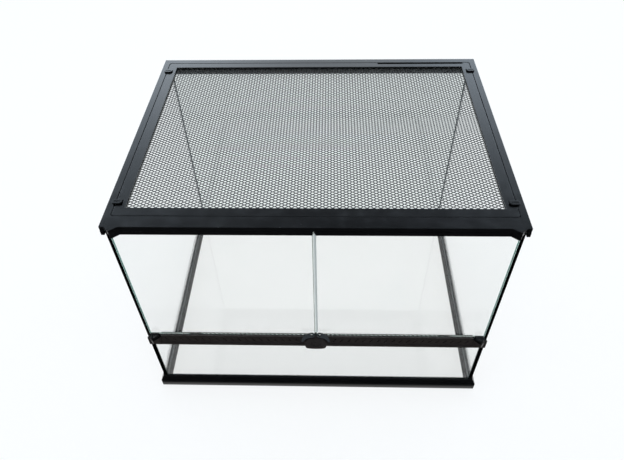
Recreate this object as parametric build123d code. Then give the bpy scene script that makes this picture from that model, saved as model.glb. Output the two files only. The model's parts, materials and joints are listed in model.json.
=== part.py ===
"""Front-opening glass tank with two hinged doors and a lift-off mesh lid.

Millimetres, +Z up, front towards -Y. The pieces are drawn about the middle of
the top frame and then moved, so that the origin is the middle of the whole
object's box, on the surface it stands on.
"""

from build123d import *
from math import cos, floor, radians, sin
import os

# Overall sizes
frame_width = 610.0        # top frame, left to right
frame_depth = 465.0        # top frame, front to rear
frame_top = 450.0          # top face above the floor
base_flare = 2.0           # bottom frame beyond the top frame, on every side

# Glass
pane = 5.0                 # side, rear, floor and lower front panes
door_pane = 4.0            # doors
bead_leg = 2.0             # silicone beads in the inside corners

# Top frame
frame_height = 16.0
frame_wall = 5.0           # plastic outside the panes
skirt_wall = 3.0           # inner skirt and the lip behind the doors
roof = 1.5                 # plastic between the panes and the lid
side_land = 22.0           # outer edge to the inner skirt, at the sides
rear_land = 26.5
front_land = 36.5
side_seam = 10.5           # outer edge to the lid, at the sides
rear_seam = 12.3
front_seam = 22.0
seam_radius = 4.0
upper_band = 8.0           # full-depth upper part of the front beam
cheek_step = 0.8           # how far the side walls' front ends stand out below that band
stop_relief = 0.8          # cut in the door stop behind each hinge
stop_relief_reach = 4.0

# Bottom frame
base_height = 31.0
base_face = 18.0           # upright outer face
base_bevel_top = 27.0
base_bevel_run = 5.0
base_lip_step = 0.6        # step between the bevel and the lip round the panes
base_land = 21.0           # outer face to the inner edge of the ledge, at the sides and rear
base_front_land = 12.5
floor_seat = 22.0          # height of the ledge under the floor pane
pane_seat = 10.0           # height of the channel that the upright panes stand in
core_depth = 7.0           # hollow underneath
core_wall = 3.5
ledge_sheet = 3.0          # thickness of the ledge's free edge

# Lid
lid_gap = 1.2              # around the lid
rest_gap = 0.3             # between touching faces of pieces that move apart
lid_side_rail = 16.3
lid_front_rail = 16.8
lid_rear_rail = 15.5
mesh_hold = 4.5            # mesh edge held under the rails
mesh_sheet = 1.2
mesh_drop = 3.6            # rail top to mesh top
retainer_rail = 4.0
mesh_pitch_x = 30.0        # long way of the open diamonds
mesh_pitch_y = 17.4        # short way
mesh_strand = 3.0
mesh_border = 5.0          # plain edge of the sheet

# Lid locks
lock_length = 15.0
lock_width = 9.0
lock_cap = 2.6
lock_inset = 4.0           # inside of the side panes to the pivot
lock_front = 50.5          # front of the frame to the front pivots
lock_rear = 44.5
lock_stem_radius = 2.5
lock_head_radius = 3.4
lock_head = 1.8
lock_groove = 1.6
lock_clearance = 0.8
running_clearance = 0.05

# Cable inlets at the rear
channel_inset = 24.0       # outer side of the frame to the channel's right end
channel_length = 165.0
channel_width = 4.6
inlet_length = 27.0
inlet_margin = 0.4
closer_length = 33.5
closer_height = 2.5
closer_bump = 2.2
closer_inset = 92.0        # outer side of the frame to the place where the closers meet
closer_gap = 0.4
bump_offset = 7.0
bump_length = 3.0

# Doors and hinges
hinge_inset = 6.0          # inside of the side panes to the pin
pin_forward = 0.5          # pin's axis to the frame front
pin_radius = 1.5
door_setback = 3.5         # frame front to the front face of the doors
door_side_gap = 0.7        # inside of the side panes to the door's outer edge
door_top_gap = 2.6
door_bottom_gap = 0.5
door_meet = 1.2            # middle line to each door's inner edge
bracket_reach = 10.0       # pin axis to the bracket's inner end
bracket_outer = 5.6        # pin axis to the bracket's outer end
bracket_front = 7.0        # frame front to the bracket's nose
rail_height = 8.2          # door's top rail, with its hinge nose
rail_gap = 1.2             # frame's band to the rail
rail_setback = 0.5         # frame front to the rail's front face
rail_rear_wall = 1.2       # plastic behind the glass
rail_meet = 0.6            # middle line to each rail's inner end
notch_left = -1.5          # opening for the seal where the rails meet
notch_right = 3.9
notch_tip = 0.9
notch_height = 6.1
bracket_pad_outer = 3.0    # pin axis to the pad's outer end
bracket_grip = 3.0         # lower bracket's wall in front of the glass
boss_front = 7.0
boss_outer = 9.0
boss_inner = 11.5
strip_boss_outer = 8.0
strip_boss_bottom = 156.0
nose_half = 1.3
pin_in_frame = 5.5
pin_in_bracket = 7.0
pin_end_gap = 0.5
seal_flange = 1.0
seal_width = 4.6
seal_gap = 0.4
seal_above_eye = 4.0       # pull's eye to the seal's lower end
seal_head_front = 2.5      # front face of the doors to the seal's pointed head
seal_head_left = -0.8
seal_head_right = 3.6
seal_head_height = 5.6
seal_head_root = 2.5

# Vent strip below the doors
strip_bottom = 145.0
strip_top = 174.5
strip_rear_wall = 2.5
strip_rear_top = 167.0
strip_top_run = 9.5        # flat top, front to rear
strip_end_inset = 4.0      # outer side of the frame to the strip's end
strip_fit = 0.3            # strip to the inside of the side panes
glass_in_strip = 8.5
strip_boss_top = 165.5
strip_recess = 2.0
recess_rim = 2.0
recess_foot = 5.0
slot_first = 33.0          # middle line to the first slot of each half
slot_pitch = 13.0
slot_lean = 5.7
slot_low = 155.5
slot_high = 164.5
slot_width = 2.0

# Catch and door pulls
catch_half = 20.5
catch_bow = 5.5            # how far the catch's front curves back at its ends
catch_reach = 11.0         # frame front to the foremost edge of the catch
catch_bottom = 146.0
catch_edge = 153.0
catch_shoulder = 171.5
catch_crown = 174.5        # top of the outline's upper arc
catch_cheek = 161.0        # where that arc meets the upright sides
catch_foot = 150.5         # where the sides meet the lower arc
catch_taper = 3.0
catch_shoulder_setback = 2.0
dial_radius = 9.5
dial_depth = 2.0
dial_height = 164.0
rib_width = 1.4
eye_x = 6.4
eye_setback = 1.0
eye_height = 181.0
eye_radius = 2.4
ring_radius = 4.5
pull_reach = 45.0          # size of the tool that trims the pull's block
wing_outline = [           # outward and up the slope from the eye
    (0, ring_radius),
    (6.4, 3.2),
    (11.9, 0.8),
    (15.5, -2.8),
    (17.7, -6.9),
    (18.6, -12.4),
    (15.2, -11.6),
    (11.9, -7.6),
    (6.0, -5.4),
    (0, -ring_radius),
]
pull_sheet = 3.0
pull_slope = 45.0
pull_block_inner = 3.0
pull_block_outer = 11.0
pull_block_depth = 4.2
pull_block_low = 176.0
pull_block_high = 179.5

# Worked out from the sizes above
half_width = frame_width / 2
half_depth = frame_depth / 2
base_width = frame_width + 2 * base_flare
base_depth = frame_depth + 2 * base_flare
front = -half_depth
frame_bottom = frame_top - frame_height
band_bottom = frame_top - upper_band
glass_top = band_bottom
lid_seat = glass_top + roof
pane_out_x = half_width - frame_wall
pane_in_x = pane_out_x - pane
rear_out_y = half_depth - frame_wall
rear_in_y = rear_out_y - pane
door_front = front + door_setback
door_rear = door_front + door_pane
lower_front = door_front
lower_rear = lower_front + pane
floor_top = floor_seat + pane
lid_bottom = lid_seat + rest_gap
mesh_top = frame_top - mesh_drop
mesh_bottom = mesh_top - mesh_sheet
stop_front = door_rear + rail_rear_wall + rest_gap
rail_top = band_bottom - rest_gap
rail_low = rail_top - rail_height
hinge_x = pane_in_x - hinge_inset
hinge_y = front - pin_forward
door_outer = pane_in_x - door_side_gap
door_bottom = strip_top + door_bottom_gap
door_top = band_bottom - door_top_gap
lock_x = pane_in_x - lock_inset
channel_right = half_width - channel_inset
channel_left = channel_right - channel_length
closer_meet = half_width - closer_inset
slot_count = floor((hinge_x - bracket_reach - slot_first) / slot_pitch) + 1
catch_front = half_depth + catch_reach
box_shift = (catch_front - base_depth / 2) / 2
through = 2.0              # how far cutting tools run past a face
overlap = 1.0              # how far a nose runs into its wall


def block(x0, x1, y0, y1, z0, z1):
    """Box between two opposite corners."""
    size = Box(abs(x1 - x0), abs(y1 - y0), abs(z1 - z0))
    return Pos((x0 + x1) / 2, (y0 + y1) / 2, (z0 + z1) / 2) * size


def rounded_block(x0, x1, y0, y1, z0, z1, radius):
    """Box with rounded upright edges."""
    return fillet(block(x0, x1, y0, y1, z0, z1).edges().filter_by(Axis.Z), radius)


def along_x(points, x0, x1):
    """Solid with a (y, z) outline, from x0 to x1."""
    plane = Plane(origin=(x0, 0, 0), x_dir=(0, 1, 0), z_dir=(1, 0, 0))
    return extrude(plane * make_face(Polyline(*points, close=True)), x1 - x0)


def along_z(points, z0, z1):
    """Solid with an (x, y) outline, from z0 to z1."""
    plane = Plane(origin=(0, 0, z0))
    return extrude(plane * make_face(Polyline(*points, close=True)), z1 - z0)


def rod(x, y, z0, z1, radius):
    """Upright cylinder."""
    return Pos(x, y, (z0 + z1) / 2) * Cylinder(radius, z1 - z0)


def both_sides(part):
    """The part and its mirror image across the middle plane."""
    return part + mirror(part, Plane.YZ)


def other_side(part):
    """Mirror image across the middle plane."""
    return mirror(part, Plane.YZ)


def nose(outer, inner, reach, z0, z1, rear):
    """Hinge nose on the left: tapered towards the front, around the pin's axis."""
    points = [
        (-hinge_x - outer, rear),
        (-hinge_x - outer, front),
        (-hinge_x - nose_half, front - reach),
        (-hinge_x + nose_half, front - reach),
        (-hinge_x + inner, front),
        (-hinge_x + inner, rear),
    ]
    return along_z(points, z0, z1)


def lock_places():
    """Pivot of each lid lock."""
    places = {}
    for side, x in (("left", -lock_x), ("right", lock_x)):
        places["front_" + side + "_lock"] = (x, front + lock_front)
        places["rear_" + side + "_lock"] = (x, half_depth - lock_rear)
    return places


def closer_spans():
    """Left and right end of each cable closer."""
    near = closer_gap / 2
    far = near + closer_length
    return {
        "left_cable_closer": (closer_meet - far, closer_meet - near),
        "right_cable_closer": (closer_meet + near, closer_meet + far),
    }


def pill(x, y, z0, z1, length, width):
    """Flat bar with round ends, long side along X."""
    shape = Plane(origin=(x, y, z0)) * SlotOverall(length, width)
    return extrude(shape, z1 - z0)


# Frames

def make_top_frame():
    """Moulded ring: holds the panes from above, carries the lid and the upper hinges."""
    ring = block(-half_width, half_width, front, half_depth, frame_bottom, frame_top)
    skirt_x = half_width - side_land
    skirt_front = front + front_land
    skirt_rear = half_depth - rear_land
    ring -= block(-skirt_x, skirt_x, skirt_front, skirt_rear, frame_bottom - through, frame_top + through)
    seam_x = half_width - side_seam
    ring -= rounded_block(-seam_x, seam_x, front + front_seam, half_depth - rear_seam,
                          lid_seat, frame_top + through, seam_radius)
    pocket = block(-pane_in_x, pane_in_x, stop_front + skirt_wall, rear_out_y,
                   frame_bottom - through, glass_top)
    pocket -= block(-skirt_x - skirt_wall, skirt_x + skirt_wall, skirt_front - skirt_wall,
                    skirt_rear + skirt_wall, frame_bottom - through, glass_top)
    ring -= pocket
    low = frame_bottom - through
    ring -= block(-pane_out_x, pane_out_x, front - through, stop_front, low, band_bottom)
    ring -= both_sides(block(-pane_out_x, -pane_in_x, front, rear_out_y, low, glass_top))
    relief_x = hinge_x - stop_relief_reach
    ring -= both_sides(block(-pane_in_x, -relief_x, front, stop_front + stop_relief, low, band_bottom))
    cheek = block(-half_width, -pane_out_x, front - cheek_step, front, frame_bottom, band_bottom)
    ring += both_sides(cheek)
    ring += both_sides(nose(boss_outer, boss_inner, boss_front, band_bottom, frame_top, front + overlap))
    hole = rod(-hinge_x, hinge_y, band_bottom - through, band_bottom + pin_in_frame + pin_end_gap,
               pin_radius + running_clearance)
    ring -= both_sides(hole)
    for x, y in lock_places().values():
        ring -= rod(x, y, glass_top - through, lid_seat + through, lock_stem_radius + running_clearance)
    channel_rear = half_depth - rear_seam
    for left, right in closer_spans().values():
        middle = (left + right) / 2
        ring -= block(middle - inlet_length / 2, middle + inlet_length / 2,
                      channel_rear - channel_width + inlet_margin, channel_rear - inlet_margin,
                      glass_top - through, lid_seat + through)
    return ring


def make_bottom_frame():
    """Moulded ring that the panes stand in, bevelled outside and hollow underneath."""
    half_w = base_width / 2
    half_d = base_depth / 2
    ring = block(-half_w, half_w, -half_d, half_d, 0, base_face)
    low = Plane(origin=(0, 0, base_face)) * Rectangle(base_width, base_depth)
    run = 2 * base_bevel_run
    high = Plane(origin=(0, 0, base_bevel_top)) * Rectangle(base_width - run, base_depth - run)
    ring += loft([low.face(), high.face()])
    inset = base_bevel_run + base_lip_step
    ring += block(-half_w + inset, half_w - inset, -half_d + inset, half_d - inset,
                  base_bevel_top, base_height)
    ring -= block(-pane_out_x, pane_out_x, lower_front, rear_out_y, floor_seat, base_height + through)
    channel = block(-pane_out_x, pane_out_x, lower_front, rear_out_y, pane_seat, floor_seat + through)
    channel -= block(-pane_in_x, pane_in_x, lower_rear, rear_in_y, pane_seat - through, floor_seat + through)
    ring -= channel
    open_x = half_w - base_land
    ring -= block(-open_x, open_x, -half_d + base_front_land, half_d - base_land,
                  -through, floor_seat + through)
    ring -= block(-half_w + core_wall, half_w - core_wall, -half_d + core_wall, half_d - core_wall,
                  -through, core_depth)
    under_x = pane_in_x - core_wall
    ring -= block(-under_x, under_x, lower_rear + core_wall, rear_in_y - core_wall,
                  -through, floor_seat - ledge_sheet)
    return ring


# Glass and silicone

def make_panes():
    """Fixed panes."""
    left = block(-pane_out_x, -pane_in_x, door_front, rear_out_y, pane_seat, glass_top)
    return {
        "floor_glass": block(-pane_in_x, pane_in_x, lower_rear, rear_in_y, floor_seat, floor_top),
        "left_side_glass": left,
        "right_side_glass": other_side(left),
        "rear_glass": block(-pane_in_x, pane_in_x, rear_in_y, rear_out_y, pane_seat, glass_top),
        "lower_front_glass": block(-pane_in_x, pane_in_x, lower_front, lower_rear,
                                   pane_seat, strip_bottom + glass_in_strip),
    }


def make_beads():
    """Silicone in the inside corners."""
    side = -pane_in_x
    corner = [(side, rear_in_y), (side, rear_in_y - bead_leg), (side + bead_leg, rear_in_y)]
    rear = along_z(corner, floor_top + bead_leg, frame_bottom)
    corner = [(side, lower_rear), (side + bead_leg, lower_rear), (side, lower_rear + bead_leg)]
    fore = along_z(corner, floor_top + bead_leg, strip_bottom)
    middle_y = (lower_rear + rear_in_y) / 2
    width = 2 * pane_in_x
    depth = rear_in_y - lower_rear
    low = Plane(origin=(0, middle_y, floor_top)) * Rectangle(width - 2 * bead_leg, depth - 2 * bead_leg)
    high = Plane(origin=(0, middle_y, floor_top + bead_leg)) * Rectangle(width, depth)
    around = block(-pane_in_x, pane_in_x, lower_rear, rear_in_y, floor_top, floor_top + bead_leg)
    return {
        "rear_left_bead": rear,
        "rear_right_bead": other_side(rear),
        "front_left_bead": fore,
        "front_right_bead": other_side(fore),
        "floor_bead": around - loft([low.face(), high.face()]),
    }


# Vent strip and catch

def make_vent_strip():
    """Slotted rail on top of the lower front pane, with the lower hinge bosses at its ends."""
    strip_rear = lower_rear + strip_rear_wall
    outline = [
        (front, strip_bottom),
        (front, strip_top),
        (front + strip_top_run, strip_top),
        (strip_rear, strip_rear_top),
        (strip_rear, strip_bottom),
    ]
    end_x = half_width - strip_end_inset
    inner_x = pane_in_x - strip_fit
    strip = along_x(outline, -inner_x, inner_x)
    ears = block(-end_x, -inner_x, front, door_front - strip_fit, strip_bottom, strip_boss_top)
    strip += both_sides(ears)
    swing = ((bracket_reach ** 2 + (door_rear + rest_gap - hinge_y) ** 2) ** 0.5) + 2 * rest_gap
    step = block(-end_x - through, -hinge_x + swing, front - through, strip_rear + through,
                 strip_boss_top, strip_top + through)
    strip -= both_sides(step)
    strip -= block(-end_x - through, end_x + through, lower_front, lower_rear,
                   strip_bottom - through, strip_bottom + glass_in_strip)
    strip -= make_recess()
    boss = nose(strip_boss_outer, bracket_reach, bracket_front,
                strip_boss_bottom, strip_boss_top, front + overlap)
    strip += both_sides(boss)
    hole = rod(-hinge_x, hinge_y, strip_boss_top - pin_in_frame - pin_end_gap, strip_boss_top + through,
               pin_radius + running_clearance)
    strip -= both_sides(hole)
    slots = [make_slot(slot_first + n * slot_pitch) for n in range(slot_count)]
    strip -= slots
    strip -= [other_side(slot) for slot in slots]
    return strip


def make_recess():
    """Long shallow recess in the strip's front."""
    half = hinge_x - bracket_reach
    return block(-half, half, front - through, front + strip_recess,
                 strip_bottom + recess_foot, strip_top - recess_rim)


def make_slot(x):
    """One leaning vent slot on the right, right through the strip."""
    lean = slot_lean / 2
    wide = slot_width / 2
    points = [
        (x - lean - wide, slot_low),
        (x - lean + wide, slot_low),
        (x + lean + wide, slot_high),
        (x + lean - wide, slot_high),
    ]
    plane = Plane(origin=(0, lower_rear + strip_rear_wall + through, 0), x_dir=(1, 0, 0), z_dir=(0, -1, 0))
    depth = plane.origin.Y - front + through
    return extrude(plane * make_face(Polyline(*points, close=True)), depth)


def make_catch():
    """Bulging catch in the middle of the strip, with a round dial recess."""
    back = front + strip_recess
    shoulder = front - catch_shoulder_setback
    side = [
        (back, catch_bottom),
        (shoulder - catch_shoulder_setback, catch_bottom),
        (-catch_front, catch_edge),
        (shoulder, catch_shoulder),
        (back, catch_shoulder),
    ]
    body = along_x(side, -catch_half, catch_half)
    plane = Plane(origin=(0, back, 0), x_dir=(1, 0, 0), z_dir=(0, -1, 0))
    half = catch_half
    foot = catch_half - catch_taper
    outline = Polyline((foot, catch_foot), (half, catch_cheek))
    outline += ThreePointArc((half, catch_cheek), (0, catch_crown), (-half, catch_cheek))
    outline += Polyline((-half, catch_cheek), (-foot, catch_foot))
    outline += ThreePointArc((-foot, catch_foot), (0, catch_bottom), (foot, catch_foot))
    body &= extrude(plane * make_face(outline), catch_front)
    body -= block(-half, half, front, back, 0, strip_bottom + recess_foot)
    bow_radius = (catch_half ** 2 + catch_bow ** 2) / (2 * catch_bow)
    body &= rod(0, bow_radius - catch_front, catch_bottom - through, catch_crown + through, bow_radius)
    face_run = shoulder + catch_front
    face_rise = catch_shoulder - catch_edge
    dial_y = -catch_front + face_run * (dial_height - catch_edge) / face_rise
    dial_plane = Plane(origin=(0, dial_y, dial_height), x_dir=(1, 0, 0), z_dir=(0, -face_rise, face_run))
    dial = extrude(dial_plane * Circle(dial_radius), dial_depth, both=True)
    rib_face = dial_plane * Pos(0, -dial_radius / 2) * Rectangle(rib_width, dial_radius)
    rib = extrude(rib_face, dial_depth, both=True)
    return body - (dial - rib)


# Doors

def notch(z_low):
    """Pointed opening in the rails' front walls where the doors meet."""
    points = [(notch_left, z_low), (notch_right, z_low), (notch_tip, z_low + notch_height)]
    plane = Plane(origin=(0, door_front, 0), x_dir=(1, 0, 0), z_dir=(0, -1, 0))
    return extrude(plane * make_face(Polyline(*points, close=True)), door_setback + through)


def make_top_rail():
    """Left door's top rail: grips the glass's upper edge and ends in the upper hinge nose."""
    body = nose(bracket_outer, bracket_reach, bracket_front, rail_low, rail_top, door_front)
    rear = door_rear + rail_rear_wall
    left = -hinge_x - bracket_pad_outer
    body += block(left, -hinge_x + bracket_reach, door_front, rear, rail_low, rail_top)
    body += block(-hinge_x, -rail_meet, front + rail_setback, rear, rail_low, band_bottom - rail_gap)
    body -= block(-door_outer - through, 0, door_front, door_rear, rail_low - through, door_top)
    return body - rod(-hinge_x, hinge_y, rail_top - pin_in_bracket, rail_top + through, pin_radius)


def make_lower_bracket():
    """Left lower hinge bracket, under the door's bottom corner."""
    low = strip_boss_top + rest_gap
    left = -hinge_x - bracket_pad_outer
    right = -hinge_x + bracket_reach
    body = nose(bracket_outer, bracket_reach, bracket_front, low, door_bottom, door_front)
    body += block(left, right, door_front, door_rear + rest_gap, low, door_bottom)
    body += block(left, right, front, door_front, door_bottom, door_bottom + bracket_grip)
    return body - rod(-hinge_x, hinge_y, low - through, low + pin_in_bracket, pin_radius)


def make_pull():
    """Right door pull: a sloping wing with a padlock eye, on a block against the glass."""
    slope = radians(pull_slope)
    plane = Plane(origin=(eye_x, front - eye_setback, eye_height), x_dir=(1, 0, 0),
                  z_dir=(0, -sin(slope), cos(slope)))
    wing = make_face(Polyline(*wing_outline, close=True))
    sheet = extrude(plane * (wing + Circle(ring_radius)), -pull_sheet)
    foot = block(eye_x + pull_block_inner, eye_x + pull_block_outer,
                 door_front, door_front - pull_block_depth, pull_block_low, pull_block_high)
    above = extrude(plane * Rectangle(pull_reach, pull_reach), pull_reach)
    eye = extrude(plane * Circle(eye_radius), 2 * pull_sheet, both=True)
    glass = block(0, half_width, door_front, 0, 0, frame_top)
    return sheet + (foot - above) - eye - glass


def make_doors():
    """Both doors, with their brackets, pins, pulls and the seal between them."""
    glass = block(-door_outer, -door_meet, door_front, door_rear, door_bottom, door_top)
    upper_pin = rod(-hinge_x, hinge_y, rail_top - pin_in_bracket, band_bottom + pin_in_frame, pin_radius)
    low = strip_boss_top + rest_gap
    lower_pin = rod(-hinge_x, hinge_y, strip_boss_top - pin_in_frame, low + pin_in_bracket, pin_radius)
    seal_left = -door_meet + seal_gap
    seal = block(seal_left, seal_left + seal_width, door_front - seal_flange, door_rear + seal_flange,
                 eye_height + seal_above_eye, rail_low - rest_gap)
    seal -= block(door_meet, door_outer, door_front, door_rear, 0, frame_top)
    head_low = rail_low - rest_gap
    points = [
        (seal_head_left, head_low - seal_head_root),
        (seal_head_right, head_low - seal_head_root),
        (seal_head_right, head_low),
        (notch_tip, head_low + seal_head_height),
        (seal_head_left, head_low),
    ]
    plane = Plane(origin=(0, door_front - rest_gap, 0), x_dir=(1, 0, 0), z_dir=(0, -1, 0))
    seal += extrude(plane * make_face(Polyline(*points, close=True)), seal_head_front - rest_gap)
    pull = make_pull()
    left = {
        "door_glass": glass,
        "top_rail": make_top_rail(),
        "upper_pin": upper_pin,
        "lower_bracket": make_lower_bracket(),
        "lower_pin": lower_pin,
        "door_pull": other_side(pull),
    }
    parts = {}
    for name, piece in left.items():
        parts["left_" + name] = piece
        parts["right_" + name] = other_side(piece)
    for side in ("left_", "right_"):
        parts[side + "top_rail"] -= notch(rail_low)
    parts["door_seal"] = seal
    return parts


# Lid

def lid_inner():
    """Edges of the lid's mesh opening."""
    outer_x = half_width - side_seam - lid_gap
    return (outer_x - lid_side_rail, front + front_seam + lid_gap + lid_front_rail,
            half_depth - rear_seam - lid_gap - lid_rear_rail)


def make_lid_frame():
    """Lid rails, notched around the locks and along the cable channel."""
    outer_x = half_width - side_seam - lid_gap
    outer_front = front + front_seam + lid_gap
    outer_rear = half_depth - rear_seam - lid_gap
    inner_x, inner_front, inner_rear = lid_inner()
    rails = rounded_block(-outer_x, outer_x, outer_front, outer_rear, lid_bottom, frame_top, seam_radius)
    rails -= block(-inner_x, inner_x, inner_front, inner_rear, lid_bottom - through, frame_top + through)
    hold = mesh_hold
    rails -= block(-inner_x - hold, inner_x + hold, inner_front - hold, inner_rear + hold,
                   lid_bottom - through, mesh_top)
    rails -= block(channel_left, channel_right, outer_rear - channel_width, outer_rear + through,
                   lid_bottom - through, frame_top + through)
    half = lock_width / 2 + lock_clearance
    for x, y in lock_places().values():
        away = 1 if x > 0 else -1
        deep = x - away * (lock_length / 2 + lock_clearance)
        rails -= block(x + away * lock_length, deep, y - half, y + half,
                       lid_bottom - through, frame_top + through)
    return rails


def flat_wire(points, z):
    """Closed wire through (x, y) points at one height."""
    return Wire.make_polygon([Vector(x, y, z) for x, y in points])


def make_mesh():
    """Expanded sheet with staggered open diamonds."""
    inner_x, inner_front, inner_rear = lid_inner()
    half_x = inner_x + mesh_hold
    low_y = inner_front - mesh_hold
    high_y = inner_rear + mesh_hold
    room_x = 2 * (half_x - mesh_border)
    room_y = high_y - low_y - 2 * mesh_border
    columns = floor(room_x / mesh_pitch_x)
    rows = floor(room_y / mesh_pitch_y) * 2 - 1
    middle_y = (low_y + high_y) / 2
    long_half = mesh_pitch_x / 2 - mesh_strand
    short_half = mesh_pitch_y / 2 - mesh_strand / 2
    holes = []
    for row in range(rows):
        y = middle_y + (row - (rows - 1) / 2) * mesh_pitch_y / 2
        count = columns - row % 2
        for column in range(count):
            x = (column - (count - 1) / 2) * mesh_pitch_x
            corners = [(x - long_half, y), (x, y - short_half), (x + long_half, y), (x, y + short_half)]
            holes.append(flat_wire(corners, mesh_bottom))
    rim = flat_wire([(-half_x, low_y), (half_x, low_y), (half_x, high_y), (-half_x, high_y)], mesh_bottom)
    return extrude(Face(rim, holes), mesh_sheet, dir=(0, 0, 1))


def make_retainer():
    """Ring under the mesh that holds its edge in the rails."""
    inner_x, inner_front, inner_rear = lid_inner()
    hold = mesh_hold
    ring = block(-inner_x - hold, inner_x + hold, inner_front - hold, inner_rear + hold,
                 lid_bottom, mesh_bottom)
    edge = mesh_hold - retainer_rail
    return ring - block(-inner_x - edge, inner_x + edge, inner_front - edge, inner_rear + edge,
                        lid_bottom - through, mesh_top)


def make_lock(x, y):
    """Quarter-turn lock: a bar on a stem that snaps through the ledge."""
    cap_bottom = frame_top + rest_gap
    cap = pill(x, y, cap_bottom, cap_bottom + lock_cap, lock_length, lock_width)
    groove = block(x - lock_length, x + lock_length, y - lock_groove / 2, y + lock_groove / 2,
                   cap_bottom + lock_cap / 2, cap_bottom + lock_cap + through)
    groove_length = lock_length - lock_width / 2
    groove &= pill(x, y, cap_bottom, cap_bottom + lock_cap + through, groove_length, lock_groove)
    stem = rod(x, y, glass_top - rest_gap, cap_bottom, lock_stem_radius)
    head = rod(x, y, glass_top - rest_gap - lock_head, glass_top - rest_gap, lock_head_radius)
    return cap - groove + stem + head


def make_closer(left, right):
    """Sliding cover over a cable inlet, with a finger bump near the end that meets its twin."""
    rear = half_depth - rear_seam - rest_gap
    fore = half_depth - rear_seam - lid_gap - channel_width + rest_gap
    low = lid_bottom
    plate = block(left, right, fore, rear, low, low + closer_height)
    inner = right if abs(right - closer_meet) < abs(left - closer_meet) else left
    bump_x = closer_meet - bump_offset if inner == right else closer_meet + bump_offset
    bump = block(bump_x - bump_length / 2, bump_x + bump_length / 2, fore, rear,
                 low + closer_height, low + closer_height + closer_bump)
    return plate + bump


def make_parts():
    """Every piece, by node name."""
    parts = {"bottom_frame": make_bottom_frame(), "top_frame": make_top_frame()}
    parts.update(make_panes())
    parts.update(make_beads())
    parts["vent_strip"] = make_vent_strip()
    parts["door_catch"] = make_catch()
    parts.update(make_doors())
    parts["lid_frame"] = make_lid_frame()
    parts["lid_mesh"] = make_mesh()
    parts["mesh_retainer"] = make_retainer()
    for name, (x, y) in lock_places().items():
        parts[name] = make_lock(x, y)
    for name, (left, right) in closer_spans().items():
        parts[name] = make_closer(left, right)
    return parts


os.makedirs("parts", exist_ok=True)
for name, piece in make_parts().items():
    export_step(Pos(0, box_shift, 0) * piece, "parts/" + name + ".step")
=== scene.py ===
import json
import math

import bmesh
import bpy
from mathutils import Matrix, Vector


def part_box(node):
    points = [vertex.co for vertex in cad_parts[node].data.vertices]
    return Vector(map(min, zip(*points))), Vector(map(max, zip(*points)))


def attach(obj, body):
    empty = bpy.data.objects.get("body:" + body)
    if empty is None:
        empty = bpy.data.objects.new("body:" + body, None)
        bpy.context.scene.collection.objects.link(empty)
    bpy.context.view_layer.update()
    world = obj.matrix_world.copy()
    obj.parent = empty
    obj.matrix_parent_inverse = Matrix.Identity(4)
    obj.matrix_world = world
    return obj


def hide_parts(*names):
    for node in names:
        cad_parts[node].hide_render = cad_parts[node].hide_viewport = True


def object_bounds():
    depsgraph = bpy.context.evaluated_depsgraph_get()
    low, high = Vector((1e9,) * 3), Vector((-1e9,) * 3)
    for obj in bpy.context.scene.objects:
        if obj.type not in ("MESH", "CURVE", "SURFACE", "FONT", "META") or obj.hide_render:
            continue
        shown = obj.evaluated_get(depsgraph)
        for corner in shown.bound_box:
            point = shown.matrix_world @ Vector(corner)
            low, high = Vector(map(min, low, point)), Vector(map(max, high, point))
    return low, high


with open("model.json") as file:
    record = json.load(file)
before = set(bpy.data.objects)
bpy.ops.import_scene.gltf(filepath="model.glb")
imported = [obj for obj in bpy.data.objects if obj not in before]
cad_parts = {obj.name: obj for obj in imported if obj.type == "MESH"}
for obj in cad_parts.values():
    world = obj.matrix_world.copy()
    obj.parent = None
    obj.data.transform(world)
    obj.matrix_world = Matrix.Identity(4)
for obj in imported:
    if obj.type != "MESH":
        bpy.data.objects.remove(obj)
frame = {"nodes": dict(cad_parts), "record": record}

cadLow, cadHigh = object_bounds()
middle = (cadLow + cadHigh) / 2
bodies = frame["record"]["behaviour"]["bodies"]
bodyOf = {node: body for body, nodes in bodies.items() for node in nodes}


# Shader maths: a Flow is one output socket, and sums and products of Flows add Math nodes.
class Flow:
    def __init__(self, tree, socket=None):
        self.tree = tree
        self.socket = socket

    def node(self, kind, settings=None, values=None, out=0):
        made = self.tree.nodes.new(kind)
        for name, value in (settings or {}).items():
            setattr(made, name, value)
        for place, value in (values or {}).items():
            if isinstance(value, Flow):
                self.tree.links.new(value.socket, made.inputs[place])
            else:
                made.inputs[place].default_value = value
        return Flow(self.tree, made.outputs[out])

    def math(self, operation, *others):
        values = dict(enumerate((self,) + others))
        return self.node("ShaderNodeMath", {"operation": operation}, values)

    def between(self, low, high, smooth=True):
        kind = "SMOOTHSTEP" if smooth else "LINEAR"
        values = {"Value": self, "From Min": low, "From Max": high}
        return self.node("ShaderNodeMapRange", {"interpolation_type": kind}, values)

    def colours(self, first, second):
        return self.node("ShaderNodeMix", {"data_type": "RGBA"}, {0: self, 6: first, 7: second}, 2)

    def __add__(self, other):
        return self.math("ADD", other)

    def __radd__(self, other):
        return self.math("ADD", other)

    def __sub__(self, other):
        return self.math("SUBTRACT", other)

    def __rsub__(self, other):
        return self.node("ShaderNodeMath", {"operation": "SUBTRACT"}, {0: other, 1: self})

    def __mul__(self, other):
        return self.math("MULTIPLY", other)


def startMaterial(name, fixed):
    material = bpy.data.materials.new(name)
    material.use_nodes = True
    tree = material.node_tree
    shader = tree.nodes["Principled BSDF"]
    for socket, value in fixed.items():
        shader.inputs[socket].default_value = value
    start = Flow(tree)
    return material, start, shader


def feed(shader, links):
    for socket, flow in links.items():
        flow.tree.links.new(flow.socket, shader.inputs[socket])


def objectPlace(start):
    return start.node("ShaderNodeTexCoord", out=3)


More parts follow.
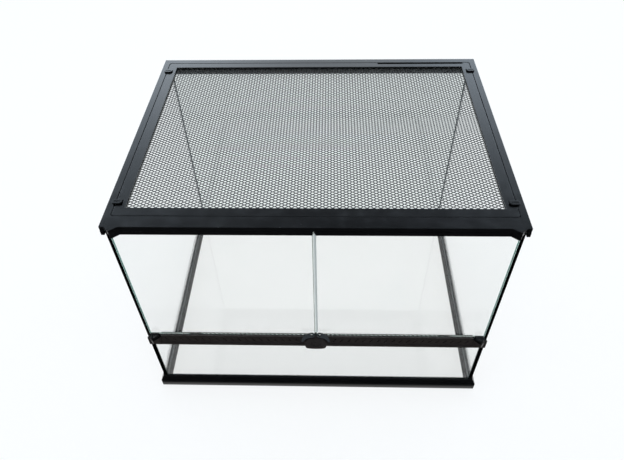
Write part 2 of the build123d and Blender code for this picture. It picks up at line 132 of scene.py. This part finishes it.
def noiseOf(place, scale, detail, roughness=0.5):
    values = {"Vector": place, "Scale": scale, "Detail": detail, "Roughness": roughness}
    return place.node("ShaderNodeTexNoise", {}, values)


def splitOf(place):
    parts = place.node("ShaderNodeSeparateXYZ", {}, {0: place})
    node = parts.socket.node
    return [Flow(place.tree, node.outputs[i]) for i in range(3)]


def bumpOf(height, strength, distance):
    values = {"Height": height, "Strength": strength, "Distance": distance}
    return height.node("ShaderNodeBump", {}, values)


# Moulded plastic: fine spark-eroded grain, a few light scuffs and a little dust on faces that look up. Where
# slotFace is given, painted near-black shade inside the vent strip's slots.
def makePlastic(name, look):
    material, start, shader = startMaterial(name, {"IOR": look["ior"]})
    place = objectPlace(start)
    grain = noiseOf(place, look["grainScale"], 3.0, 0.6)
    patches = noiseOf(place, look["patchScale"], 4.0, 0.55)
    stretched = place.node("ShaderNodeMapping", {}, {"Vector": place, "Scale": look["scuffStretch"]})
    scuffs = noiseOf(stretched, look["scuffScale"], 5.0, 0.7).between(*look["scuffRange"])
    normal = splitOf(start.node("ShaderNodeTexCoord", out=1))
    dust = normal[2].between(*look["dustUp"]) * patches.between(*look["dustPatches"]) * look["dust"]
    body = patches.colours(look["dark"], look["light"])
    dusty = dust.colours(body, look["dustColour"])
    colour = (scuffs * look["scuff"]).colours(dusty, look["scuffColour"])
    roughness = look["roughness"] + (patches - 0.5) * look["roughnessSpread"]
    roughness = roughness + scuffs * look["scuffRoughness"] + dust * look["dustRoughness"]
    # painted shade: faces behind the recess face and below the slot top are coloured near-black, standing in
    # for the shade inside the slots
    if "slotFace" in look:
        spot = splitOf(place)
        behind = spot[1].between(look["slotFace"], look["slotFace"] + look["slotFaceFade"])
        below = 1 - spot[2].between(look["slotTop"], look["slotTop"] + look["slotTopFade"])
        paintedSlotShade = behind * below
        colour = paintedSlotShade.colours(colour, look["slotPaintedShade"])
        roughness = roughness * (1 - paintedSlotShade) + paintedSlotShade * look["slotRoughness"]
    feed(shader, {"Base Color": colour, "Roughness": roughness,
                  "Normal": bumpOf(grain, look["grainBump"], look["grainDepth"])})
    return material


blackPlastic = {
    "ior": 1.50, "dark": (0.0018, 0.0019, 0.0021, 1), "light": (0.0038, 0.0040, 0.0045, 1),
    "dustColour": (0.16, 0.17, 0.18, 1), "dust": 0.03, "scuff": 0.06, "scuffColour": (0.07, 0.075, 0.08, 1),
    "scuffStretch": (1.0, 7.0, 4.0), "scuffScale": 38.0, "grainScale": 1500.0, "patchScale": 42.0,
    "grainBump": 0.10, "grainDepth": 0.0002, "roughness": 0.22, "roughnessSpread": 0.10,
    "scuffRange": (0.66, 0.74), "scuffRoughness": 0.06, "dustUp": (0.6, 1.0), "dustPatches": (0.45, 0.8),
    "dustRoughness": 0.5,
}
brownBlackPlastic = dict(blackPlastic, dark=(0.020, 0.0152, 0.0134, 1), light=(0.032, 0.0250, 0.0225, 1),
                         roughness=0.34, scuffStretch=(1.0, 5.0, 9.0))
# vent strip: painted near-black shade inside its slots, where the surface is also dull
stripLook = {
    "noseReach": 0.0070, "recess": 0.0024, "slotDrop": 0.0090, "slotPaintedShade": (0.0006, 0.0006, 0.0006, 1),
    "slotFaceFade": 0.0004, "slotTopFade": 0.0006, "slotRoughness": 0.95,
}


# Float glass: clear through the faces, dark green where the edge is looked into.
def makeGlass(name, low, high, thin, look):
    fixed = {"Transmission Weight": 1.0, "IOR": look["ior"], "Roughness": 0.0}
    material, start, shader = startMaterial(name, fixed)
    place = splitOf(objectPlace(start))
    edge = None
    for axis in range(3):
        if axis == thin:
            continue
        nearLow = 1 - place[axis].between(low[axis] + look["edge"], low[axis] + look["edgeFade"], False)
        nearHigh = place[axis].between(high[axis] - look["edgeFade"], high[axis] - look["edge"], False)
        both = nearLow.math("MAXIMUM", nearHigh)
        edge = both if edge is None else edge.math("MAXIMUM", both)
    smears = noiseOf(objectPlace(start), look["smearScale"], 3.0, 0.6).between(*look["smearRange"])
    film = smears.colours(look["clear"], look["film"])
    feed(shader, {"Base Color": edge.colours(film, look["edgeColour"])})
    tree = material.node_tree
    shadowOnly = start.node("ShaderNodeLightPath", out="Is Shadow Ray")
    clear = start.node("ShaderNodeBsdfTransparent", {}, {"Color": look["shadowTint"]})
    glass = Flow(tree, shader.outputs[0])
    surface = shadowOnly.node("ShaderNodeMixShader", {}, {0: shadowOnly, 1: glass, 2: clear})
    tree.links.new(surface.socket, tree.nodes["Material Output"].inputs["Surface"])
    return material


clearGlass = {
    "ior": 1.5, "edge": 0.0007, "edgeFade": 0.00098, "edgeColour": (0.012, 0.075, 0.055, 1),
    "clear": (0.992, 0.998, 0.995, 1), "film": (0.980, 0.990, 0.986, 1), "smearScale": 9.0,
    "smearRange": (0.5, 0.75), "shadowTint": (0.94, 0.96, 0.95, 1),
}
rearGlass = dict(clearGlass, clear=(0.93, 0.965, 0.945, 1), film=(0.90, 0.94, 0.92, 1))


# Silicone and the soft door seal: milky, lets some light through.
def makeMilky(name, look):
    fixed = {"IOR": look["ior"], "Transmission Weight": look["through"]}
    material, start, shader = startMaterial(name, fixed)
    place = objectPlace(start)
    lumps = noiseOf(place, look["lumpScale"], 3.0)
    feed(shader, {"Base Color": lumps.colours(look["first"], look["second"]),
                  "Roughness": look["roughness"] + lumps * look["lumpRoughness"],
                  "Normal": bumpOf(lumps, look["bump"], look["bumpDepth"])})
    return material


siliconeLook = {
    "ior": 1.41, "through": 0.96, "lumpScale": 160.0, "first": (0.80, 0.84, 0.82, 1),
    "second": (0.88, 0.91, 0.89, 1), "roughness": 0.12, "lumpRoughness": 0.15, "bump": 0.3,
    "bumpDepth": 0.0004,
}
sealLook = dict(siliconeLook, ior=1.05, through=0.45, lumpScale=220.0, first=(0.90, 0.95, 0.91, 1),
                second=(0.96, 0.99, 0.97, 1), roughness=0.30)


# Coated steel: satin grey with tiny pits in the coat and brighter rubbed ridges.
def makeCoatedSteel(name, look):
    material, start, shader = startMaterial(name, {"IOR": look["ior"]})
    place = objectPlace(start)
    pits = noiseOf(place, look["pitScale"], 3.0, 0.65)
    cloud = noiseOf(place, look["cloudScale"], 3.0)
    height = splitOf(place)[2]
    rubbed = height.between(look["rubLow"], look["rubHigh"]) * pits.between(*look["rubPits"])
    coat = cloud.colours(look["dark"], look["light"])
    feed(shader, {"Base Color": (rubbed * look["rub"]).colours(coat, look["rubColour"]),
                  "Metallic": look["metal"] + rubbed * look["rubMetal"],
                  "Roughness": look["roughness"] + (pits - 0.5) * look["pitRoughness"],
                  "Normal": bumpOf(pits, look["bump"], look["bumpDepth"])})
    return material


coatedSteel = {
    "ior": 1.5, "pitScale": 900.0, "cloudScale": 14.0, "dark": (0.016, 0.018, 0.017, 1),
    "light": (0.030, 0.033, 0.031, 1), "rub": 0.25, "rubColour": (0.16, 0.17, 0.165, 1), "rubStart": 0.0008,
    "rubPits": (0.4, 0.65), "metal": 0.10, "rubMetal": 0.2, "roughness": 0.50, "pitRoughness": 0.2,
    "bump": 0.25, "bumpDepth": 0.0002,
}


# Drawn steel of the hinge pins: fine rings round the pin.
def makePinSteel(name, look):
    material, start, shader = startMaterial(name, {"IOR": look["ior"], "Metallic": 1.0})
    place = objectPlace(start)
    turned = place.node("ShaderNodeMapping", {}, {"Vector": place, "Scale": look["ringStretch"]})
    rings = noiseOf(turned, look["ringScale"], 2.0)
    feed(shader, {"Base Color": rings.colours(look["dark"], look["light"]),
                  "Roughness": look["roughness"] + rings * look["ringRoughness"]})
    return material


drawnSteel = {
    "ior": 2.5, "ringStretch": (1.0, 1.0, 30.0), "ringScale": 300.0, "dark": (0.42, 0.42, 0.43, 1),
    "light": (0.62, 0.62, 0.63, 1), "roughness": 0.25, "ringRoughness": 0.2,
}


# Pieces: copies of the CAD meshes with softened edges. Turns are in degrees.
cadCleaning = {"weld": 0.000002, "flatTurn": 0.5, "sharpTurn": 30.0}


def finishPiece(name, shape, material, body, slot):
    mesh = bpy.data.meshes.new(name)
    shape.to_mesh(mesh)
    shape.free()
    mesh.materials.append(material)
    for face in mesh.polygons:
        face.use_smooth = True
    piece = bpy.data.objects.new(name, mesh)
    bpy.context.scene.collection.objects.link(piece)
    weighted = piece.modifiers.new("cleanShading", "WEIGHTED_NORMAL")
    weighted.keep_sharp = True
    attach(piece, body)
    return piece


def cadCopy(node):
    shape = bmesh.new()
    shape.from_mesh(frame["nodes"][node].data)
    bmesh.ops.remove_doubles(shape, verts=shape.verts, dist=cadCleaning["weld"])
    flat = math.radians(cadCleaning["flatTurn"])
    bmesh.ops.dissolve_limit(shape, angle_limit=flat, verts=shape.verts, edges=shape.edges)
    return shape


def softenEdges(shape, width, segments):
    turn = math.radians(cadCleaning["sharpTurn"])
    sharp = [edge for edge in shape.edges if edge.is_manifold and edge.calc_face_angle(0.0) > turn]
    bmesh.ops.bevel(shape, geom=sharp, offset=width, offset_type="OFFSET", affect="EDGES", segments=segments,
                    profile=0.5, material=-1, clamp_overlap=True)


def slotOfNode(node):
    return next(row["material_slot"] for row in frame["record"]["subparts"] if row["node"] == node)


def moulded(node, width, segments, material):
    shape = cadCopy(node)
    softenEdges(shape, width, segments)
    piece = finishPiece(node + "_moulding", shape, material, bodyOf[node], slotOfNode(node))
    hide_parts(node)


def paint(node, material):
    mesh = frame["nodes"][node].data
    mesh.materials.clear()
    mesh.materials.append(material)


# Expanded mesh of the lid: rows of long diamonds with the strands tilted one way.
expandedMesh = {"pitchX": 0.01005, "pitchY": 0.0058, "strand": 0.00066, "tilt": 0.00050, "thick": 0.0008,
                "weld": 0.00001, "spareCells": 2}


def makeExpandedMesh(material):
    s = expandedMesh
    low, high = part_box("lid_mesh")
    shape = bmesh.new()
    for shiftX, shiftY in ((0, 0), (s["pitchX"] / 2, s["pitchY"] / 2)):
        ring = bmesh.ops.create_circle(shape, cap_ends=True, segments=4, radius=1.0)["verts"]
        bmesh.ops.scale(shape, vec=(s["pitchX"] / 2, s["pitchY"] / 2, 1), verts=ring)
        face = ring[0].link_faces[0]
        bmesh.ops.inset_individual(shape, faces=[face], thickness=s["strand"], use_even_offset=True)
        for corner in face.verts:
            corner.co.z += s["tilt"] * corner.co.y / (s["pitchY"] / 2)
        outer = {v for e in face.edges for f in e.link_faces for v in f.verts} | set(ring)
        bmesh.ops.delete(shape, geom=[face], context="FACES_ONLY")
        bmesh.ops.translate(shape, vec=(shiftX, shiftY, 0), verts=list(outer))
    mesh = bpy.data.meshes.new("diamondCell")
    shape.to_mesh(mesh)
    shape.free()
    cell = bpy.data.objects.new("diamondCell", mesh)
    bpy.context.scene.collection.objects.link(cell)
    size = high - low
    counts = (math.ceil(size.x / s["pitchX"]) + s["spareCells"],
              math.ceil(size.y / s["pitchY"]) + s["spareCells"])
    for axis, (count, pitch) in enumerate(zip(counts, (s["pitchX"], s["pitchY"]))):
        rows = cell.modifiers.new("rows", "ARRAY")
        rows.count = count
        rows.use_relative_offset = False
        rows.use_constant_offset = True
        rows.constant_offset_displace = [pitch if i == axis else 0 for i in range(3)]
    bpy.context.view_layer.update()
    evaluated = cell.evaluated_get(bpy.context.evaluated_depsgraph_get())
    shape = bmesh.new()
    shape.from_mesh(evaluated.data)
    bpy.data.objects.remove(cell)
    bmesh.ops.remove_doubles(shape, verts=shape.verts, dist=s["weld"])
    start = Vector(((low.x + high.x) / 2 - (counts[0] - 0.5) * s["pitchX"] / 2,
                    (low.y + high.y) / 2 - (counts[1] - 0.5) * s["pitchY"] / 2, (low.z + high.z) / 2))
    bmesh.ops.translate(shape, vec=start, verts=shape.verts)
    for corner, out in ((low, -1), (high, 1)):
        for axis in (0, 1):
            away = Vector([out if i == axis else 0 for i in range(3)])
            everything = shape.verts[:] + shape.edges[:] + shape.faces[:]
            bmesh.ops.bisect_plane(shape, geom=everything, plane_co=corner, plane_no=away, clear_outer=True)
    bmesh.ops.recalc_face_normals(shape, faces=shape.faces)
    if sum(face.normal.z for face in shape.faces) < 0:
        bmesh.ops.reverse_faces(shape, faces=shape.faces)
    bmesh.ops.solidify(shape, geom=shape.faces[:], thickness=s["thick"])
    bmesh.ops.recalc_face_normals(shape, faces=shape.faces)
    piece = finishPiece("expanded_lid_mesh", shape, material, "lid", "coated_mesh")
    for face in piece.data.polygons:
        face.use_smooth = False
    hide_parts("lid_mesh")


print("materials")
plasticBlack = makePlastic("blackMouldedPlastic", blackPlastic)
plasticBrown = makePlastic("brownBlackMouldedPlastic", brownBlackPlastic)
stripLow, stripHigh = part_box("vent_strip")
plasticStrip = makePlastic("slottedStripPlastic", dict(
    brownBlackPlastic, **stripLook, slotFace=stripLow.y + stripLook["noseReach"] + stripLook["recess"],
    slotTop=stripHigh.z - stripLook["slotDrop"]))
plasticCloser = makePlastic("closerPlastic", dict(blackPlastic, roughness=0.7, dust=0.0, ior=1.2))
silicone = makeMilky("clearSilicone", siliconeLook)
sealPlastic = makeMilky("softSeal", sealLook)
pinSteel = makePinSteel("drawnSteel", drawnSteel)
meshLow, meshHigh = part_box("lid_mesh")
meshSteel = makeCoatedSteel("coatedExpandedSteel", dict(
    coatedSteel, rubLow=meshLow.z + coatedSteel["rubStart"], rubHigh=meshHigh.z))

print("moulded pieces")
mouldings = {
    "top_frame": (0.0009, 3, plasticBlack),
    "bottom_frame": (0.0008, 2, plasticBlack),
    "lid_frame": (0.0008, 3, plasticBlack),
    "mesh_retainer": (0.0003, 1, plasticBlack),
    "vent_strip": (0.0004, 2, plasticStrip),
    "door_catch": (0.0010, 4, plasticBrown),
}
for side in ("left", "right"):
    mouldings[side + "_door_pull"] = (0.0008, 3, plasticBlack)
    mouldings[side + "_top_rail"] = (0.0005, 2, plasticBlack)
    mouldings[side + "_lower_bracket"] = (0.0005, 2, plasticBlack)
    mouldings[side + "_cable_closer"] = (0.0004, 2, plasticCloser)
    for end in ("front", "rear"):
        mouldings[end + "_" + side + "_lock"] = (0.0007, 3, plasticBlack)
for node, (width, segments, material) in mouldings.items():
    moulded(node, width, segments, material)

print("glass")
thinAxis = {"floor_glass": 2, "left_side_glass": 0, "right_side_glass": 0, "rear_glass": 1,
            "lower_front_glass": 1, "left_door_glass": 1, "right_door_glass": 1}
for node, thin in thinAxis.items():
    low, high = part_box(node)
    look = rearGlass if node == "rear_glass" else clearGlass
    paint(node, makeGlass(node + "Glass", low, high, thin, look))

print("silicone, seal and pins")
for node in frame["nodes"]:
    if node.endswith("_bead"):
        paint(node, silicone)
    if node.endswith("_pin"):
        paint(node, pinSteel)
paint("door_seal", sealPlastic)

print("expanded mesh")
makeExpandedMesh(meshSteel)


# Stage: pale floor, and a soft room that is bright low down at the rear and dim above and in front.
stageLook = {"floorSize": 14.0, "floorColour": (0.20, 0.20, 0.20, 1), "floorGlow": (0.80, 0.805, 0.805, 1),
             "boardDeep": 6.5, "boardHalf": 4.0, "boardHeight": 0.003,
             "boardPale": (0.90, 0.90, 0.90, 1), "boardDark": (0.006, 0.006, 0.006, 1), "fadeRun": 0.010}


def makeSheet(name, halfX, halfY, place, material):
    shape = bmesh.new()
    bmesh.ops.create_grid(shape, x_segments=1, y_segments=1, size=1.0)
    bmesh.ops.scale(shape, vec=(halfX, halfY, 1), verts=shape.verts)
    bmesh.ops.translate(shape, vec=place, verts=shape.verts)
    mesh = bpy.data.meshes.new(name)
    shape.to_mesh(mesh)
    shape.free()
    mesh.materials.append(material)
    sheet = bpy.data.objects.new(name, mesh)
    bpy.context.scene.collection.objects.link(sheet)
    return sheet


def makeStage():
    s = stageLook
    flat = {"Roughness": 0.9, "Specular IOR Level": 0.0, "Emission Strength": 1.0}
    glowing = {"Base Color": s["floorColour"], "Emission Color": s["floorGlow"]}
    paper = startMaterial("palePaper", dict(flat, **glowing))[0]
    half = s["floorSize"] / 2
    makeSheet("studioFloor", half, half, (middle.x, middle.y, cadLow.z), paper)
    # a dark board on the floor in front, met only by reflections
    unlit = {"Base Color": (0.0, 0.0, 0.0, 1)}
    dark, start, shader = startMaterial("darkCard", dict(flat, **unlit))
    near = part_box("bottom_frame")[0].y
    away = (near - splitOf(objectPlace(start))[1]).between(0.0, s["fadeRun"])
    feed(shader, {"Emission Color": away.colours(s["boardPale"], s["boardDark"])})
    place = (middle.x, near - s["boardDeep"] / 2, cadLow.z + s["boardHeight"])
    board = makeSheet("darkBoard", s["boardHalf"], s["boardDeep"] / 2, place, dark)
    board.visible_camera = False
    board.visible_diffuse = False
    board.visible_transmission = False
    board.visible_shadow = False


# Light of the room by direction, for reflections and soft light; plain white where it is looked at.
# A range is the part of the unit direction over which one light gives way to the next.
roomLook = {
    "rear": 3.3, "rearMiddle": 1.7, "front": 0.04, "frontHigh": 0.95, "above": 0.08, "left": 0.12,
    "tint": (0.76, 0.88, 1.0, 1), "rearRange": (-0.2, 0.5), "highRange": (0.42, 0.70),
    "leftRange": (0.1, 0.5), "leftRearRange": (0.2, 0.5), "cornerRange": (0.04, 0.27),
    "frontRange": (0.12, 0.5),
}


def makeWorld():
    s = roomLook
    world = bpy.data.worlds.new("softRoom")
    bpy.context.scene.world = world
    world.use_nodes = True
    tree = world.node_tree
    start = Flow(tree)
    way = splitOf(start.node("ShaderNodeTexCoord", out=0))
    rear = way[1].between(*s["rearRange"])
    high = way[2].between(*s["highRange"])
    side = (way[0] * -1.0).between(*s["leftRange"]) * way[1].between(*s["leftRearRange"])
    corner = way[0].math("ABSOLUTE").between(*s["cornerRange"])
    bright = s["rearMiddle"] + corner * (s["rear"] - s["rearMiddle"])
    front = s["front"] + way[2].between(*s["frontRange"]) * (s["frontHigh"] - s["front"])
    above = s["above"] + side * s["left"]
    light = (1 - rear) * front + rear * ((1 - high) * bright + high * above)
    direct = start.node("ShaderNodeLightPath", out="Is Camera Ray")
    seen = direct.math("MAXIMUM", start.node("ShaderNodeLightPath", out="Is Transmission Ray"))
    strength = light * (1 - seen) + seen
    tint = (1 - seen).colours((1.0, 1.0, 1.0, 1), s["tint"])
    background = tree.nodes["Background"]
    tree.links.new(tint.socket, background.inputs["Color"])
    tree.links.new(strength.socket, background.inputs["Strength"])


# Camera: the angles are in degrees, the lens and sensor in millimetres.
cameraLook = {"place": (0.0220, -0.7687, 1.0076), "down": 46.075, "turn": 2.496, "roll": -1.519,
              "lens": 31.98, "sensor": 36.0}


def makeCamera():
    s = cameraLook
    data = bpy.data.cameras.new("camera")
    data.lens = s["lens"]
    data.sensor_width = s["sensor"]
    camera = bpy.data.objects.new("camera", data)
    bpy.context.scene.collection.objects.link(camera)
    tilt = math.radians(90.0 - s["down"])
    turn = Matrix.Rotation(math.radians(s["turn"]), 4, "Z")
    camera.matrix_world = (Matrix.Translation(s["place"]) @ turn @ Matrix.Rotation(tilt, 4, "X")
                           @ Matrix.Rotation(math.radians(s["roll"]), 4, "Z"))
    bpy.context.scene.camera = camera


# Broad lamps that light surfaces without showing in their reflections, and one that does show.
lamps = {
    "overheadSoft": {"place": (0.0, -0.1, 2.6), "aim": (0, 0, 0), "size": 3.2, "power": 16.0,
                     "mirrored": False},
    "rearWindow": {"place": (-0.3, 2.4, 1.5), "aim": (0, 0, 0.4), "size": 1.5, "power": 4.0,
                   "mirrored": True},
}


def makeLights():
    for name, look in lamps.items():
        data = bpy.data.lights.new(name, "AREA")
        data.size = look["size"]
        data.energy = look["power"]
        light = bpy.data.objects.new(name, data)
        bpy.context.scene.collection.objects.link(light)
        light.location = look["place"]
        away = Vector(look["aim"]) - Vector(look["place"])
        light.rotation_euler = away.to_track_quat("-Z", "Y").to_euler()
        light.visible_camera = False
        light.visible_transmission = False
        light.visible_glossy = look["mirrored"]


print("stage, light and camera")
makeStage()
makeWorld()
makeLights()
makeCamera()
bpy.context.scene.view_settings.view_transform = "Standard"
